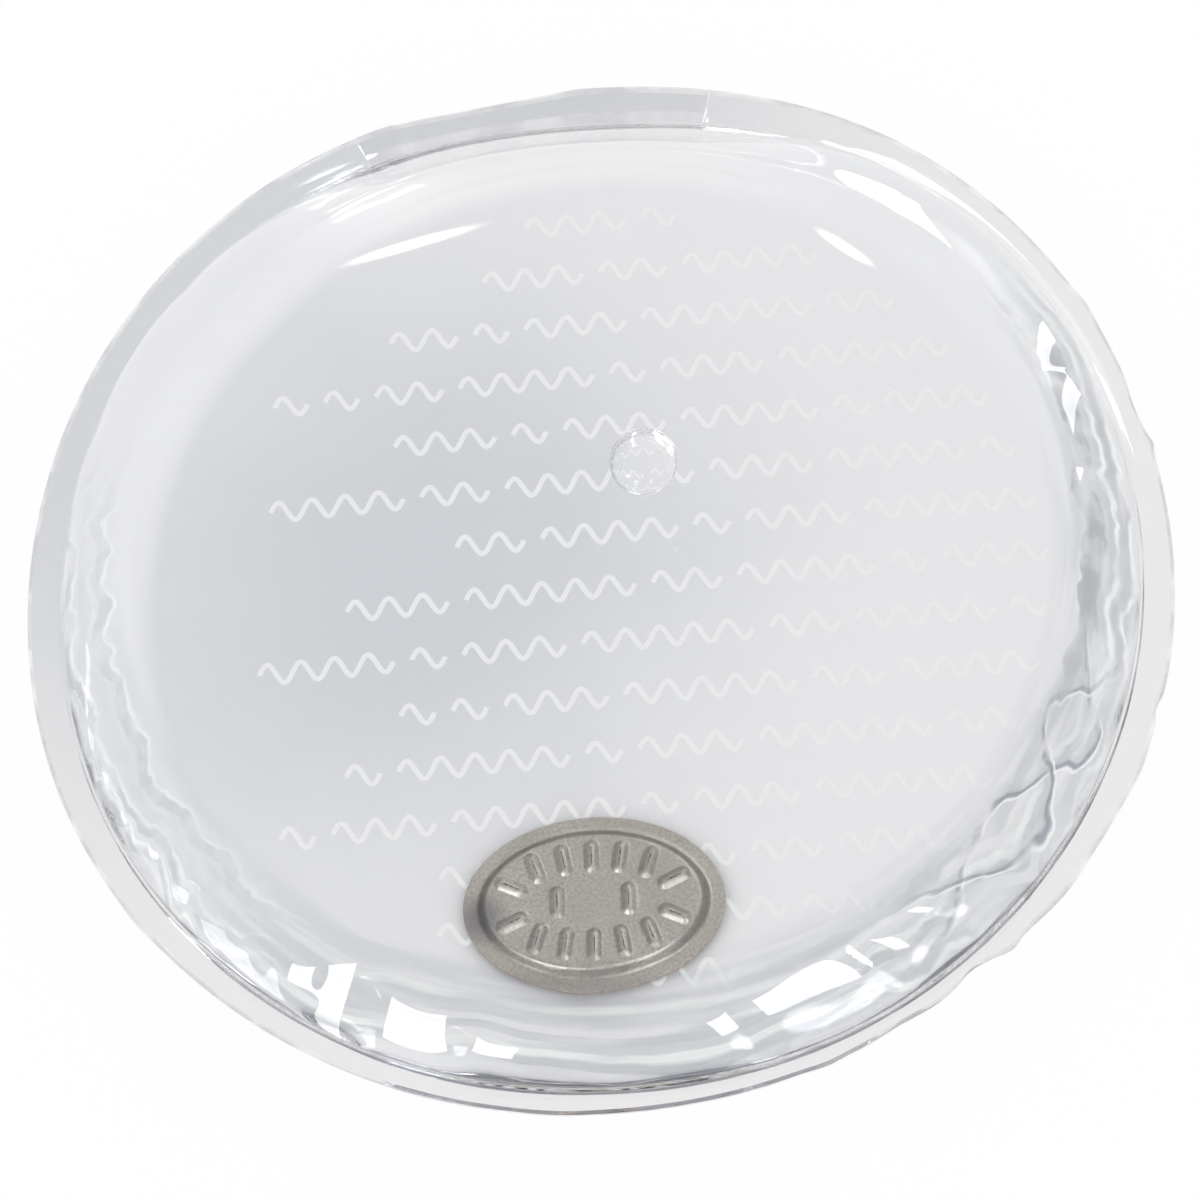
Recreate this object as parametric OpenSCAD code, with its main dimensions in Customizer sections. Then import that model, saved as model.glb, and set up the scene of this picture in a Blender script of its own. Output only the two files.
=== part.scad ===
// Reusable hand warmer: a round clear vinyl pouch of salt solution with a loose clicker disc inside.
// The pouch lies on its printed side. The origin is under its middle, on the surface it rests on.
// +X runs along the printed rows, +Y towards the fill mouth and +Z up.

/* [Pouch] */
// Radius of the weld line, inside which the pouch is filled
weld_r = 42.8; // [38:0.2:50]
// Width of the flat welded flange outside the weld line
flange_w = 2.1; // [2:0.1:6]
// How far the flange is wider on one side, and narrower on the other
edge_shift = 0.45; // [0:0.05:1]
// Direction of its wider side, in degrees from +X
edge_shift_dir = 145; // [0:5:355]
// Thickness of one sheet of vinyl
film_t = 0.4; // [0.25:0.05:0.6]
// Height of the weld line over the surface that the pouch rests on
seam_h = 6; // [4.5:0.25:8]
// Height of the filled pouch
pouch_h = 15; // [12:0.5:20]
// Width of the curved lower wall, between the weld line and the flat underside
wall_w = 7.2; // [4:0.2:8]
// Fullness of the lower wall: 2 is an ellipse, more is squarer
fullness = 2.6; // [2:0.1:3.5]
// How far the top would fall from its middle to the weld line, without the rounded wall
dome_fall = 3.5; // [2:0.25:5]
// Width of the wall that rounds from the weld line up to the top
round_w = 5.5; // [4:0.25:8]
// Fullness of that wall: 2 is an ellipse, more is squarer
round_fullness = 2.5; // [2:0.1:3]
// How much less full that wall is towards the fill mouth, where the pouch rises gently from the weld
mouth_ease = 1.6; // [0:0.1:1.7]

/* [Puckers and waves] */
// Number of creases that gather the wall at the weld
pucker_n = 24; // [16:1:28]
// Depth of the deepest crease
pucker_d = 0.9; // [0:0.1:1.2]
// Direction in which the creases are deepest, in degrees from +X
pucker_dir = 300; // [0:15:345]
// How far the flange waves up and down
seam_wave = 0.3; // [0:0.05:0.6]
// How far the flange's outer edge waves in and out
edge_wave = 0.19; // [0:0.01:0.4]

/* [Fill mouth] */
// Direction of the fill mouth from the middle, in degrees from +X
mouth_dir = 93; // [80:1:100]
// Length of the seal that closes the fill mouth
mouth_l = 27; // [16:1:40]
// How far the seal's straight outer edge cuts into the round flange
mouth_flat = 0.9; // [0.2:0.1:1.5]
// How far that edge is turned from square to the fill mouth, in degrees
mouth_skew = 5; // [0:1:8]
// How far the seal stands proud of the flange on each face
seal_bead = 0.12; // [0.05:0.01:0.3]

/* [Solution] */
// Gap between the solution and the vinyl
solution_gap = 0.1; // [0.08:0.01:0.2]
// Width of the air bubble under the front film
bubble_w = 5.6; // [3:0.1:9]
// Depth of the air bubble
bubble_h = 2.4; // [1:0.1:3]
// Distance of the bubble from the middle along X
bubble_x = 4.3; // [-15:0.1:15]
// Distance of the bubble from the middle along Y
bubble_y = 6.7; // [-15:0.1:15]

/* [Clicker disc] */
// Length of the oval disc
disc_l = 19.8; // [17:0.1:26]
// Width of the oval disc
disc_w = 14.1; // [13:0.1:18]
// Thickness of the steel
steel_t = 0.2; // [0.1:0.02:0.3]
// Width of the flat band round the rim
band_w = 1; // [0.5:0.1:1.4]
// Width of the sloping wall inside the band
slope_w = 0.8; // [0.4:0.1:1.2]
// Rise of the crown over the band
crown_rise = 0.9; // [0.8:0.05:1.5]
// Running gap between the crown and the sloping wall
crown_gap = 0.1; // [0.05:0.01:0.2]
// Distance of the disc's middle from the pouch's middle along X
disc_x = -2.4; // [-6:0.1:6]
// Clear floor between the disc and the curved wall
disc_margin = 2.3; // [0.4:0.1:3]
// Turn of the disc's long axis from +X, in degrees
disc_turn = -2; // [-5:1:5]
// Gap between the disc and what it lies on
disc_gap = 0.1; // [0.05:0.01:0.3]

/* [Ribs] */
// Length of a rib
rib_l = 2.4; // [1.6:0.1:2.6]
// Width of a rib
rib_w = 1.2; // [0.8:0.1:1.4]
// Height of a rib over the crown
rib_h = 0.35; // [0.2:0.05:0.5]
// Width of the slit along a rib's crest
slit_w = 0.12; // [0.08:0.02:0.2]
// Spacing of the ribs along the two long rows
rib_pitch = 2.15; // [1.8:0.05:2.3]
// Tilt that each rib adds on its neighbour nearer the middle, in degrees
rib_fan = 9.5; // [4:0.5:12]

/* [Print] */
// Spacing of the printed rows
row_pitch = 4.6; // [3.5:0.1:8]
// Length of one wave of the printed lines
wave_l = 2.6; // [2:0.1:4]
// Height of a wave, from the middle of the line at its top to that at its foot
wave_h = 1.6; // [0.8:0.1:1.8]
// Width of the printed lines
stroke_w = 0.4; // [0.3:0.05:0.6]
// Gap between two printed lines in a row
line_gap = 1.4; // [1:0.1:3]
// Clear floor between the print and the curved wall
print_margin = 1.5; // [0.5:0.1:6]
// Thickness of the ink
ink_t = 0.04; // [0.02:0.01:0.06]

/* [Hidden] */
// The names of the pieces

// Angular steps: four to a pucker, so that each crease falls on a step
steps = 4 * pucker_n;
step = 360 / steps;
// Rings from the weld to the middle of the top, and from the weld to the flat underside
top_rings = 10;
low_rings = 5;
// How much of the back film is cut away to leave it flat where the pouch stands
flat_cut = 0.1;
// Radius of the flat floor inside the pouch
floor_r = weld_r - wall_w;

// Where the two waves along the flange's height start, in degrees
seam_phase = [40, 10];
// Where the two waves along the flange's outer edge start, in degrees
edge_phase = [149, 94];
// Mean depth of the creases round the pouch, as a share of the deepest
crease_mean = 0.55;
// Distance from the weld in which a crease deepens, and that in which it fades
crease_start = 0.35;
crease_end = 9;
// Width of the bevel along each edge of the flange
bevel_w = 0.4;

// The mouth's ends fall on steps, so that its faces meet the flange's
mouth_steps = 2 * round(mouth_l / weld_r * 180 / PI / step / 2);
mouth_first = round(mouth_dir / step) - mouth_steps / 2;
mouth_last = mouth_first + mouth_steps;
// The wall is gentler up to about this many degrees from the fill mouth
ease_reach = 60;

// Radius of the sphere whose cap is the bubble
bubble_r = (bubble_w * bubble_w / 4 + bubble_h * bubble_h) / (2 * bubble_h);
// Facets round the bubble and a rib's end, and along a printed wave
bubble_facets = 48;
rib_facets = 16;
wave_facets = 5;

// Sides of the disc's oval
oval_sides = 72;
// Half axes of the disc, and its middle
disc_a = disc_l / 2;
disc_b = disc_w / 2;
disc_y = -(floor_r - disc_margin - disc_b);
disc_z = film_t + ink_t + disc_gap;
// Half axes of the crown plate
crown_a = disc_a - band_w - slope_w - crown_gap;
crown_b = disc_b - band_w - slope_w - crown_gap;
// Plain crown between a rib's end and the crown's edge
rib_edge = 0.25;
// The middle of a rib lies this far inside the crown's edge
rib_inset = rib_l / 2 + rib_edge;
// The two long rows of ribs follow an oval with these half axes
row_a = crown_a - rib_w / 2 - rib_edge;
row_b = crown_b - rib_inset;
// The two ribs at each end lie this far out, and this far either side of the long axis
end_rib_x = crown_a - rib_inset - rib_edge;
end_rib_y = rib_w + rib_edge;
end_rib_tilt = 65;
// The two ribs in the middle of the crown
inner_rib_x = 2.7;
// Clear space round the disc in the solution
disc_room = 0.2;

// Radius inside which the printed lines lie
print_r = floor_r - print_margin;
// The least share of the floor's width that a row fills, and the most waves in one line
row_fill = 0.7;
line_waves = 5;
// The most printed lines that a row may hold
row_lines = 12;
// Steps that spread the lines' lengths evenly over their range, from line to line and row to row
line_step = 0.618;
row_step = 0.37;
// Overcut that keeps a cut's faces off the faces that it cuts
eps = 0.01;

// Height of the middle of the flange at angle a
function seam_z(a) =
    seam_h + seam_wave * (sin(3 * a + seam_phase[0]) + sin(7 * a + seam_phase[1]) / 2);

// Radius of the flange's outer edge: shifted to one side, with two waves, and cut straight across
// at the fill mouth
function edge_r(a) =
    let (
        full_r = weld_r + flange_w + edge_shift * cos(a - edge_shift_dir),
        waved = full_r + edge_wave * (cos(4 * a + edge_phase[0]) + cos(5 * a + edge_phase[1])),
        ahead = cos(a - mouth_dir - mouth_skew)
    )
    ahead > 0 ? min(waved, (full_r - mouth_flat) / ahead) : waved;

// Depth of the crease at angle a: sharp in the middle, none half way to the next
function crease(a) =
    let (share = crease_mean + (1 - crease_mean) * cos(a - pucker_dir))
    pucker_d * share * (1 - abs(cos(pucker_n * a / 2)));

// Fullness of the wall that rounds down to the weld, at angle a
function wall_full(a) =
    let (off = (a - mouth_dir + 540) % 360 - 180)
    round_fullness - mouth_ease * exp(-pow(off / ease_reach, 4));

// A point of the bulge at angle a and distance x inside the weld, at gap g inside the vinyl's outer
// face: a shallow dome that rounds down to the weld
function top_point(a, x, g) =
    let (
        creased = crease(a) * (1 - exp(-x / crease_start)) * exp(-pow(x / crease_end, 2)),
        r = (weld_r - x) * (1 - g / weld_r) - creased,
        fall = pouch_h - dome_fall - seam_z(a) - film_t,
        full = wall_full(a),
        near = pow(max(1 - x / round_w, 0), full),
        z = pouch_h - dome_fall * pow(1 - x / weld_r, 2) - fall * (1 - pow(1 - near, 1 / full))
    )
    [r * cos(a), r * sin(a), z - g];

// A point of the wall below the weld, at angle a and fall f from 0 at the weld to 90 at the floor
function low_point(a, f, r, z_high, z_low) =
    let (
        creased = crease(a) * sin(2 * f),
        rr = floor_r + (r - floor_r) * pow(cos(f), 2 / fullness) - creased,
        zz = z_high + (z_low - z_high) * pow(sin(f), 2 / fullness)
    )
    [rr * cos(a), rr * sin(a), zz];

// The rings of a bulge at gap g inside the vinyl's outer face: g moves it in and down together
function top_ring(i, g) =
    [for (k = [0 : steps - 1]) let (a = k * step)
        top_point(a, weld_r * pow(i / top_rings, 2), g)];

function low_ring(i, g, low) =
    [for (k = [0 : steps - 1]) let (a = k * step)
        low_point(a, 90 * i / low_rings, weld_r - g, seam_z(a) - film_t + g, low)];

// The ring where the solution's two halves meet in the weld's corner
function tip_ring(g) =
    [for (k = [0 : steps - 1]) let (a = k * step)
        [(weld_r - g) * cos(a), (weld_r - g) * sin(a), seam_z(a)]];

// A closed solid through a chain of rings of n points, from one pole to the other. Each four-sided
// face is split along its shorter diagonal, so that skins that lie close together split alike.
module ring_solid(pole_a, rings, pole_b) {
    n = len(rings[0]);
    m = len(rings);
    points = concat([pole_a], [for (ring = rings) each ring], [pole_b]);
    last = len(points) - 1;
    first_fan = [for (k = [0 : n - 1]) [0, 1 + k, 1 + (k + 1) % n]];
    bands = [for (i = [0 : m - 2]) for (k = [0 : n - 1])
        let (
            p = 1 + i * n + k,
            q = 1 + i * n + (k + 1) % n,
            q_to_up = norm(points[q] - points[p + n]),
            p_to_up = norm(points[p] - points[q + n])
        )
        each q_to_up < p_to_up
            ? [[p, p + n, q], [q, p + n, q + n]]
            : [[p, p + n, q + n], [p, q + n, q]]];
    last_fan = [for (k = [0 : n - 1]) [last, 1 + (m - 1) * n + (k + 1) % n, 1 + (m - 1) * n + k]];
    polyhedron(points, concat(first_fan, bands, last_fan), convexity = 6);
}

// A solid swept through a list of sections of n points each, open, with flat ends
module swept_solid(sections) {
    n = len(sections[0]);
    m = len(sections);
    sides = [for (i = [0 : m - 2]) for (k = [0 : n - 1])
        let (p = i * n + k, q = i * n + (k + 1) % n)
        each [[p, q, p + n], [q, q + n, p + n]]];
    ends = [[for (k = [n - 1 : -1 : 0]) k], [for (k = [0 : n - 1]) (m - 1) * n + k]];
    polyhedron([for (section = sections) each section], concat(sides, ends), convexity = 6);
}

// A section of the flange at angle a: its bevelled inner edge holds the two films.
// bead is how far the middle of each face stands proud.
function flange_section(a, bead) =
    let (z = seam_z(a), e = edge_r(a), t = film_t, b = bevel_w)
    [for (p = [
        [weld_r - t, 0],
        [weld_r, -t], [weld_r + b, -t - bead], [e - b, -t - bead], [e, -t],
        [e, t], [e - b, t + bead], [weld_r + b, t + bead], [weld_r, t]
    ]) [p[0] * cos(a), p[0] * sin(a), z + p[1]]];

// The sections of the flange from one step to another
function flange_run(first, last, bead) =
    [for (k = [first : last]) flange_section(k * step, bead)];

module front_film() {
    color([0.86, 0.90, 0.94, 0.5])
    ring_solid(
        [0, 0, pouch_h - film_t],
        concat(
            [for (i = [top_rings - 1 : -1 : 0]) top_ring(i, film_t)],
            [for (i = [0 : top_rings - 1]) top_ring(i, 0)]
        ),
        [0, 0, pouch_h]
    );
}

module back_film() {
    color([0.80, 0.85, 0.90, 0.5])
    difference() {
        ring_solid(
            [0, 0, -flat_cut],
            concat(
                [for (i = [low_rings : -1 : 0]) low_ring(i, 0, -flat_cut)],
                [for (i = [0 : low_rings]) low_ring(i, film_t, film_t)]
            ),
            [0, 0, film_t]
        );
        translate([0, 0, -flat_cut])
        cube([2 * weld_r, 2 * weld_r, 2 * flat_cut], center = true);
    }
}

module weld_flange() {
    color([0.72, 0.78, 0.84, 0.7])
    swept_solid(flange_run(mouth_last, mouth_first + steps, 0));
}

module mouth_seal() {
    color([0.95, 0.95, 0.96, 0.8])
    swept_solid(flange_run(mouth_first, mouth_last, seal_bead));
}

module solution() {
    g = film_t + solution_gap;
    color([0.80, 0.88, 0.95, 0.35])
    difference() {
        ring_solid(
            [0, 0, g],
            concat(
                [for (i = [low_rings : -1 : 1]) low_ring(i, g, g)],
                [tip_ring(g)],
                [for (i = [1 : top_rings - 1]) top_ring(i, g)]
            ),
            [0, 0, pouch_h - g]
        );
        translate([bubble_x, bubble_y, pouch_h - g - bubble_h + bubble_r])
        sphere(r = bubble_r, $fn = bubble_facets);
        place_disc()
        translate([0, 0, -disc_z])
        linear_extrude(disc_z + crown_rise + steel_t + rib_h + disc_room)
        oval(disc_a + disc_room, disc_b + disc_room);
    }
}

// An oval with half axes a and b
module oval(a, b) {
    polygon([for (k = [0 : oval_sides - 1]) let (t = 360 * k / oval_sides) [a * cos(t), b * sin(t)]]);
}

// Puts its children where the disc lies on the floor of the pouch
module place_disc() {
    translate([disc_x, disc_y, disc_z])
    rotate(disc_turn)
    children();
}

// The band and the sloping wall, as one section swept round the oval: each point of the section is
// an inset from the disc's edge and a height
module clicker_rim() {
    top_in = band_w + slope_w;
    section = [[0, 0], [0, steel_t], [band_w, steel_t], [top_in, crown_rise + steel_t],
        [top_in, crown_rise], [band_w, 0]];
    n = len(section);
    points = [for (k = [0 : oval_sides - 1]) let (t = 360 * k / oval_sides) for (p = section)
        [(disc_a - p[0]) * cos(t), (disc_b - p[0]) * sin(t), p[1]]];
    faces = [for (k = [0 : oval_sides - 1]) for (j = [0 : n - 1])
        let (
            here = k * n,
            next = ((k + 1) % oval_sides) * n,
            u = (j + 1) % n
        )
        each [[here + j, here + u, next + j], [here + u, next + u, next + j]]];
    color([0.70, 0.68, 0.65])
    place_disc()
    polyhedron(points, faces, convexity = 6);
}

// The outline of a rib: a bar with round ends, along Y
module round_bar(l, w) {
    square([w, l - w], center = true);
    for (side = [-1, 1])
        translate([0, side * (l - w) / 2])
        circle(d = w, $fn = rib_facets);
}

// Puts its children at each rib of the crown: two rows of five, two at each end and two in the middle
module at_ribs() {
    for (side = [-1, 1]) {
        for (i = [-2 : 2])
            translate([i * rib_pitch, side * row_b * sqrt(1 - pow(i * rib_pitch / row_a, 2))])
            rotate(-side * i * rib_fan)
            children();
        for (end = [-1, 1])
            translate([end * end_rib_x, side * end_rib_y])
            rotate(-side * end * end_rib_tilt)
            children();
        translate([side * inner_rib_x, 0])
        children();
    }
}

module clicker_crown() {
    color([0.66, 0.64, 0.61])
    place_disc()
    translate([0, 0, crown_rise])
    difference() {
        union() {
            linear_extrude(steel_t)
            oval(crown_a, crown_b);
            at_ribs()
            linear_extrude(steel_t + rib_h)
            round_bar(rib_l, rib_w);
        }
        at_ribs()
        translate([0, 0, (steel_t + rib_h) / 2])
        cube([slit_w, rib_l - rib_w, steel_t + rib_h + 2 * eps], center = true);
    }
}

// The part of a number after its point
function rest(v) = v - floor(v);

// How many waves the printed line i of a row has, where the row is long enough for it
function waves(row, i) = 1 + floor(line_waves * rest(line_step * i + row_step * (row + row_lines)));

// Where the printed line i of a row starts, measured from the row's right-hand end
function line_start(row, i) =
    i == 0 ? 0 : line_start(row, i - 1) + waves(row, i - 1) * wave_l + line_gap;

// A point beside the middle of a wavy line, at distance x along it and w to its left
function wave_point(x, w) =
    let (
        turn = 360 * x / wave_l,
        slope = wave_h * PI / wave_l * cos(turn),
        n = sqrt(1 + slope * slope)
    )
    [x - w * slope / n, wave_h / 2 * sin(turn) + w / n];

// A wavy line of so many waves, along +X
module wavy_line(count) {
    last = count * wave_facets;
    edge = [for (side = [-1, 1]) for (k = [0 : last])
        wave_point((side < 0 ? k : last - k) * wave_l / wave_facets, side * stroke_w / 2)];
    polygon(edge);
}

// Rows of plain wavy lines of uneven length, each row starting at its right-hand end
module back_print() {
    rows = floor(print_r / row_pitch);
    color([0.96, 0.97, 0.98])
    for (row = [-rows : rows]) {
        reach = abs(row) * row_pitch + (wave_h + stroke_w) / 2;
        half = sqrt(max(pow(print_r, 2) - pow(reach, 2), 0));
        run = 2 * half * (row_fill + (1 - row_fill) * rest(line_step * (row + row_lines)));
        for (i = [0 : row_lines - 1]) {
            start = line_start(row, i);
            count = min(waves(row, i), floor((run - start) / wave_l));
            if (count > 0)
                translate([half - start, row * row_pitch, film_t])
                linear_extrude(ink_t)
                rotate(180)
                wavy_line(count);
        }
    }
}

front_film();
back_film();
weld_flange();
mouth_seal();
solution();
clicker_rim();
clicker_crown();
back_print();
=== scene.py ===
"""Reusable hand warmer: a round clear vinyl pouch of salt solution with a loose steel clicker disc.

Lengths are in millimetres and angles in degrees until a mesh is made, which is in metres.
"""
import math

import bpy
import numpy as np
from mathutils import Matrix, Quaternion, Vector


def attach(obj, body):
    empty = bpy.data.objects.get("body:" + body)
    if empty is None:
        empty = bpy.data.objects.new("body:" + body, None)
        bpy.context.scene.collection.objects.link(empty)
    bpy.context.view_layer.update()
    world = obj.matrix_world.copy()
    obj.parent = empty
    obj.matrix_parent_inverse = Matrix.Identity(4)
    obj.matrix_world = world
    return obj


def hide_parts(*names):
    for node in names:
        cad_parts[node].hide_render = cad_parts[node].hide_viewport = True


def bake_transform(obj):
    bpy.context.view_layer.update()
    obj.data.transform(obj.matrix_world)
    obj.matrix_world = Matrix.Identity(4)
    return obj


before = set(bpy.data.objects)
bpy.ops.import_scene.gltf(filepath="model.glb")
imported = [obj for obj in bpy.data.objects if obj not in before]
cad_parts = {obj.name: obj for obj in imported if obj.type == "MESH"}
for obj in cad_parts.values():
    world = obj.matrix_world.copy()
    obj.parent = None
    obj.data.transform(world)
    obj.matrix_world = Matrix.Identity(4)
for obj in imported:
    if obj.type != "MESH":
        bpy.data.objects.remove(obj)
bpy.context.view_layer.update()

MM = 0.001

# The pouch: radius and height of the weld, height of the pouch, thickness of a sheet of vinyl
WELD_R = 42.8
SEAM_H = 6.0
POUCH_H = 15.0
FILM_T = 0.4
# The bulge above the weld: fall of the dome from its middle to the weld's radius, and width and
# fullness of the wall that rounds down from it to the weld
DOME_FALL = 3.5
ROUND_W = 5.5
ROUND_FULLNESS = 2.5
# Stretches where that wall is less full: direction, half width in degrees, loss of fullness, squareness
FLATS = np.array([
    (93, 40, 1.6, 4), (243.5, 9.7, 1.25, 6), (291, 9, 0.9, 2), (338, 24, 0.9, 4), (198, 18, 0.7, 4)])
# The wall below the weld, and how far the underside is cut off to lie flat
WALL_W = 7.2
FULLNESS = 2.6
FLOOR_R = WELD_R - WALL_W
FLAT_CUT = 0.1
SOLUTION_GAP = 0.1
# The flange: width, how far its outer edge is shifted towards one side, and roundness of its edge
FLANGE_W = 2.1
EDGE_SHIFT = 0.45
EDGE_SHIFT_DIR = 145
EDGE_ROUND = 0.3
# The line pressed along the flange beside the weld: its corners, measured out from the weld, and its depth
PRESS_CORNERS = (0.15, 0.25, 0.5, 0.65)
PRESS_D = 0.05
# Gap that keeps the welded pieces' faces apart
WELD_GAP = 0.012
# Stretches where the weld lies further in: direction, half width in degrees, how far in
WELD_DIPS = np.array([(2, 42, 1.0), (88, 26, 1.6), (178, 30, 0.4)])

# Waves along the flange: how far they lift it and widen it, and where each pair of waves starts
SEAM_WAVE = 0.3
SEAM_STARTS = (40, 10)
EDGE_WAVE = 0.19
EDGE_STARTS = (149, 94)
# Small bumps and dents in the flange's outer edge: direction, width in degrees, height
EDGE_BUMPS = np.array([
    (27, 2.5, 0.2), (14, 3, -0.3), (9.5, 0.8, 0.2), (340, 1.3, -0.3), (333, 3, 0.15), (318, 4, 0.25),
    (306, 2.6, -0.55), (310.5, 1.3, 0.3), (297, 3, -0.2), (289, 2, 0.15), (262, 4, 0.1), (214, 3, 0.12)])

# Creases that gather the wall at the weld: direction, width in degrees, depth, how far they reach in
# from the weld, and how many degrees they lean for each millimetre on the way in
CREASES = np.array([
    (192, 2.0, 0.5, 4.5, 0), (198, 1.6, 0.4, 4.0, 1), (204, 2.2, 0.6, 5.0, 0), (211, 2.2, 0.4, 4.5, 1),
    (217, 2.6, 0.5, 5.5, 1), (223, 1.8, 0.2, 4.5, 1), (229.5, 2.0, 0.2, 5.0, 0), (268, 3.0, 0.3, 5.0, -1),
    (283, 2.0, 0.35, 5.0, -1), (299, 2.2, 0.5, 6.0, -1), (309, 2.0, 0.6, 5.5, -2),
    (318, 2.0, 0.6, 5.5, -3), (326, 1.8, 0.5, 5.0, -3), (338, 2.0, 0.6, 5.5, -3),
    (350, 2.0, 0.5, 5.5, -2), (0, 2.2, 0.5, 5.0, -1), (9, 2.0, 0.4, 4.5, -1), (18, 2.4, 0.4, 5.0, 0),
    (30, 3.0, 0.3, 4.5, 0), (47, 3.5, 0.2, 4.0, 0), (68, 3.0, 0.2, 3.0, 0), (112, 3.0, 0.3, 3.5, 0),
    (138, 3.0, 0.25, 4.0, 0), (157, 3.0, 0.3, 4.5, 0), (170, 2.4, 0.4, 4.5, 0), (182, 2.2, 0.4, 4.5, 0)])
# A crease's section: half width in degrees of its rounded valley, spread and curve of its banks
VALLEY_HALF = 0.2
BANK_SPREAD = 1.2
BANK_CURVE = 1.4
# Distance from the weld in which a crease deepens, and the shares of its depth by which it draws the skin
# in and down
CREASE_START = 0.35
CREASE_IN = 0.8
CREASE_DOWN = 0.4
# How far in from the weld the wall below it takes its creases from
LOW_CREASE_AT = 2.0
# A step in the wall: its direction, half width in degrees, half height, and how far it reaches round the
# pouch in degrees and in from the weld
STEP = (240.9, 2.2, 0.62, 13, 7)

# Two wavy folds along the wall that cross in a chain of lens-shaped cells: how many waves they would make
# round the pouch and where those start, how far in the folds lie and swing, their depth, half width and
# half width of their rounded crest, and the middle and half width in degrees of the stretch with them
FOLD_WAVES = 13
FOLD_START = -4212
FOLD_IN = 3.3
FOLD_SWING = 1.5
FOLD_DEPTH = 0.14
FOLD_HALF = 0.35
FOLD_CREST = 0.1
FOLD_DIR = 323
FOLD_WIDTH = 18
# What makes the cells uneven: by how many degrees the waves drift along the wall, how often round the
# pouch and from where, and by what share their swing grows and shrinks, and how often
FOLD_DRIFT = 25
DRIFT_WAVES = 5
DRIFT_START = 70
UNEVEN = 0.25
UNEVEN_WAVES = 9

# Stretches of painted shade on the wall, where it bends light: direction, how far they reach to either side
# in degrees, strength
WALL_GREYS = [(352, 45, 0.9), (270, 75, 0.8), (195, 40, 0.4)]
# Painted lines of shade and light along the wall, where it bends light: direction, how far they reach to
# either side in degrees, how far they wander in and out, how often, and for each line its distance in from
# the weld, its half width, the width of its soft edge, its lightness and its strength
WALL_LINES = [
    (2, 36, 4.0, 6.0, [
        (4.5, 0.75, 0.2, 0.22, 0.85), (3.5, 0.3, 0.12, 0.42, 0.8), (2.9, 0.16, 0.1, 1.0, 0.9),
        (2.3, 0.25, 0.12, 0.36, 0.85), (1.8, 0.12, 0.08, 1.0, 0.9)]),
    (310, 34, 4.0, 5.0, [
        (4.6, 0.5, 0.3, 0.42, 0.7), (3.0, 0.2, 0.1, 1.0, 0.7), (2.4, 0.3, 0.15, 0.36, 0.8),
        (1.2, 0.3, 0.12, 0.4, 0.8), (0.7, 0.12, 0.08, 1.0, 0.9)]),
    (262, 52, 2.6, 2.0, [
        (5.6, 0.7, 0.5, 0.55, 0.7), (4.2, 0.25, 0.2, 1.0, 0.6), (3.4, 0.4, 0.15, 0.5, 0.75),
        (2.3, 0.25, 0.1, 0.42, 0.8), (1.4, 0.2, 0.1, 1.0, 0.8), (0.9, 0.2, 0.1, 0.38, 0.85)]),
    (198, 38, 5.5, 7.0, [
        (5.0, 0.14, 0.08, 1.0, 0.95), (4.4, 0.4, 0.2, 0.5, 0.75), (3.2, 0.3, 0.2, 0.6, 0.6),
        (2.4, 0.12, 0.08, 1.0, 0.9), (1.9, 0.25, 0.1, 0.42, 0.8), (1.2, 0.1, 0.06, 1.0, 0.9),
        (0.8, 0.16, 0.08, 0.42, 0.75)])]

# The fill mouth: its direction, how far its straight outer edge is turned from square to it, cuts in and
# reaches in degrees, the angles of the seal's two ends, and how far the seal stands proud
MOUTH_DIR = 93
MOUTH_SKEW = 5
MOUTH_FLAT = 0.9
MOUTH_REACH = 40
MOUTH_FIRST = 75.0
MOUTH_LAST = 112.5
SEAL_BEAD = 0.12
# Degrees left free at each end of the seal
SEAL_FREE = 0.05

# The printed wavy lines: spacing of the rows, length and height of a wave, width of the line, gap between
# two lines, radius that holds the print and thickness of the ink
ROW_PITCH = 4.6
WAVE_L = 2.6
WAVE_H = 1.6
STROKE_W = 0.4
LINE_GAP = 1.4
PRINT_R = FLOOR_R - 1.5
INK_T = 0.04
# The least share of the floor's width that a row fills, the most waves in a line and lines in a row, and
# the steps that spread the lines' lengths evenly from line to line and from row to row
ROW_FILL = 0.7
LINE_WAVES = 5
ROW_LINES = 12
LINE_STEP = 0.618
ROW_STEP = 0.37

# The clicker disc: half axes, middle, gap under it, turn, steel, flat band, sloping wall, rise of the crown
DISC_A = 9.9
DISC_B = 7.05
DISC_X = -2.4
DISC_Y = -26.25
DISC_GAP = 0.1
DISC_Z = FILM_T + INK_T + DISC_GAP
DISC_TURN = -2
STEEL_T = 0.2
BAND_W = 1.0
SLOPE_W = 0.8
CROWN_RISE = 0.9
CROWN_GAP = 0.1
# Distance from the disc's edge in which the rings of its mesh keep parallel to the edge
EVEN_IN = 2.5
# The ribs on its crown: length, width and height, spacing along the rows, tilt from one to the next, plain
# crown at their ends, tilt of those at the disc's ends, and distance of the inner two from the middle
RIB_L = 2.7
RIB_W = 1.2
RIB_H = 0.3
RIB_PITCH = 2.15
RIB_FAN = 9.5
RIB_EDGE = 0.25
END_TILT = 65
INNER_X = 2.7
# The slit along a rib's crest: half width, half width of its blunt ends, thickness, depth in the crest
SLIT_HALF = 0.045
SLIT_TIP = 0.004
SLIT_T = 0.02
SLIT_SUNK = 0.012

# The air bubble: its middle, radius, stretch along Y, depth, share of its depth below its widest ring, and
# the liquid over it
BUBBLE_X = 4.3
BUBBLE_Y = 5.95
BUBBLE_R = 2.65
BUBBLE_STRETCH = 1.1
BUBBLE_H = 2.4
BUBBLE_LOW = 0.75
BUBBLE_COVER = 0.25

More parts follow.
